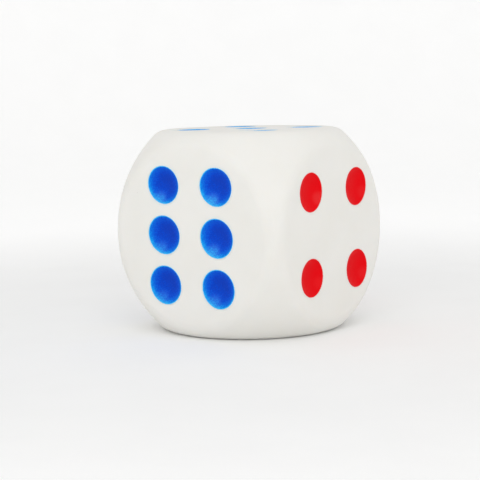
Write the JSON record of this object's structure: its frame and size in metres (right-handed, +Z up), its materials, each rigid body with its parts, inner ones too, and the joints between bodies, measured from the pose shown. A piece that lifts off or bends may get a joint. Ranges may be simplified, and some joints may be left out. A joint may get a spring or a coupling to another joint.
{
  "type": "giant yard die",
  "caption": "Large soft foam die for lawn games: a white cube with round flats and ball-cut corners, and shallow painted pips.",
  "frame": {"origin": "on the ground under the middle of the die, at the middle of the face that carries the two", "axes": "+Z up through the five, -Y out through the six, +X out through the four"},
  "size_m": [0.09, 0.09, 0.09],
  "materials": {
    "white_skin": "matt moulded foam skin, warm white, fine grain and a few pinholes",
    "cream_foam": "open-pored polyurethane foam, cream",
    "blue_paint": "sprayed satin blue, cyan and speckled towards the rim",
    "red_paint": "sprayed satin red, even, with a crisp rim"
  },
  "bodies": {
    "root": {"foam_core": "cream_foam", "skin_upper": "white_skin", "skin_base": "white_skin", "pip_one": "red_paint", "pip_two_1": "blue_paint", "pip_two_2": "blue_paint", "pip_three_1": "blue_paint", "pip_three_2": "blue_paint", "pip_three_3": "blue_paint", "pip_four_1": "red_paint", "pip_four_2": "red_paint", "pip_four_3": "red_paint", "pip_four_4": "red_paint", "pip_five_1": "blue_paint", "pip_five_2": "blue_paint", "pip_five_3": "blue_paint", "pip_five_4": "blue_paint", "pip_five_5": "blue_paint", "pip_six_1": "blue_paint", "pip_six_2": "blue_paint", "pip_six_3": "blue_paint", "pip_six_4": "blue_paint", "pip_six_5": "blue_paint", "pip_six_6": "blue_paint"}
  },
  "joints": []
}
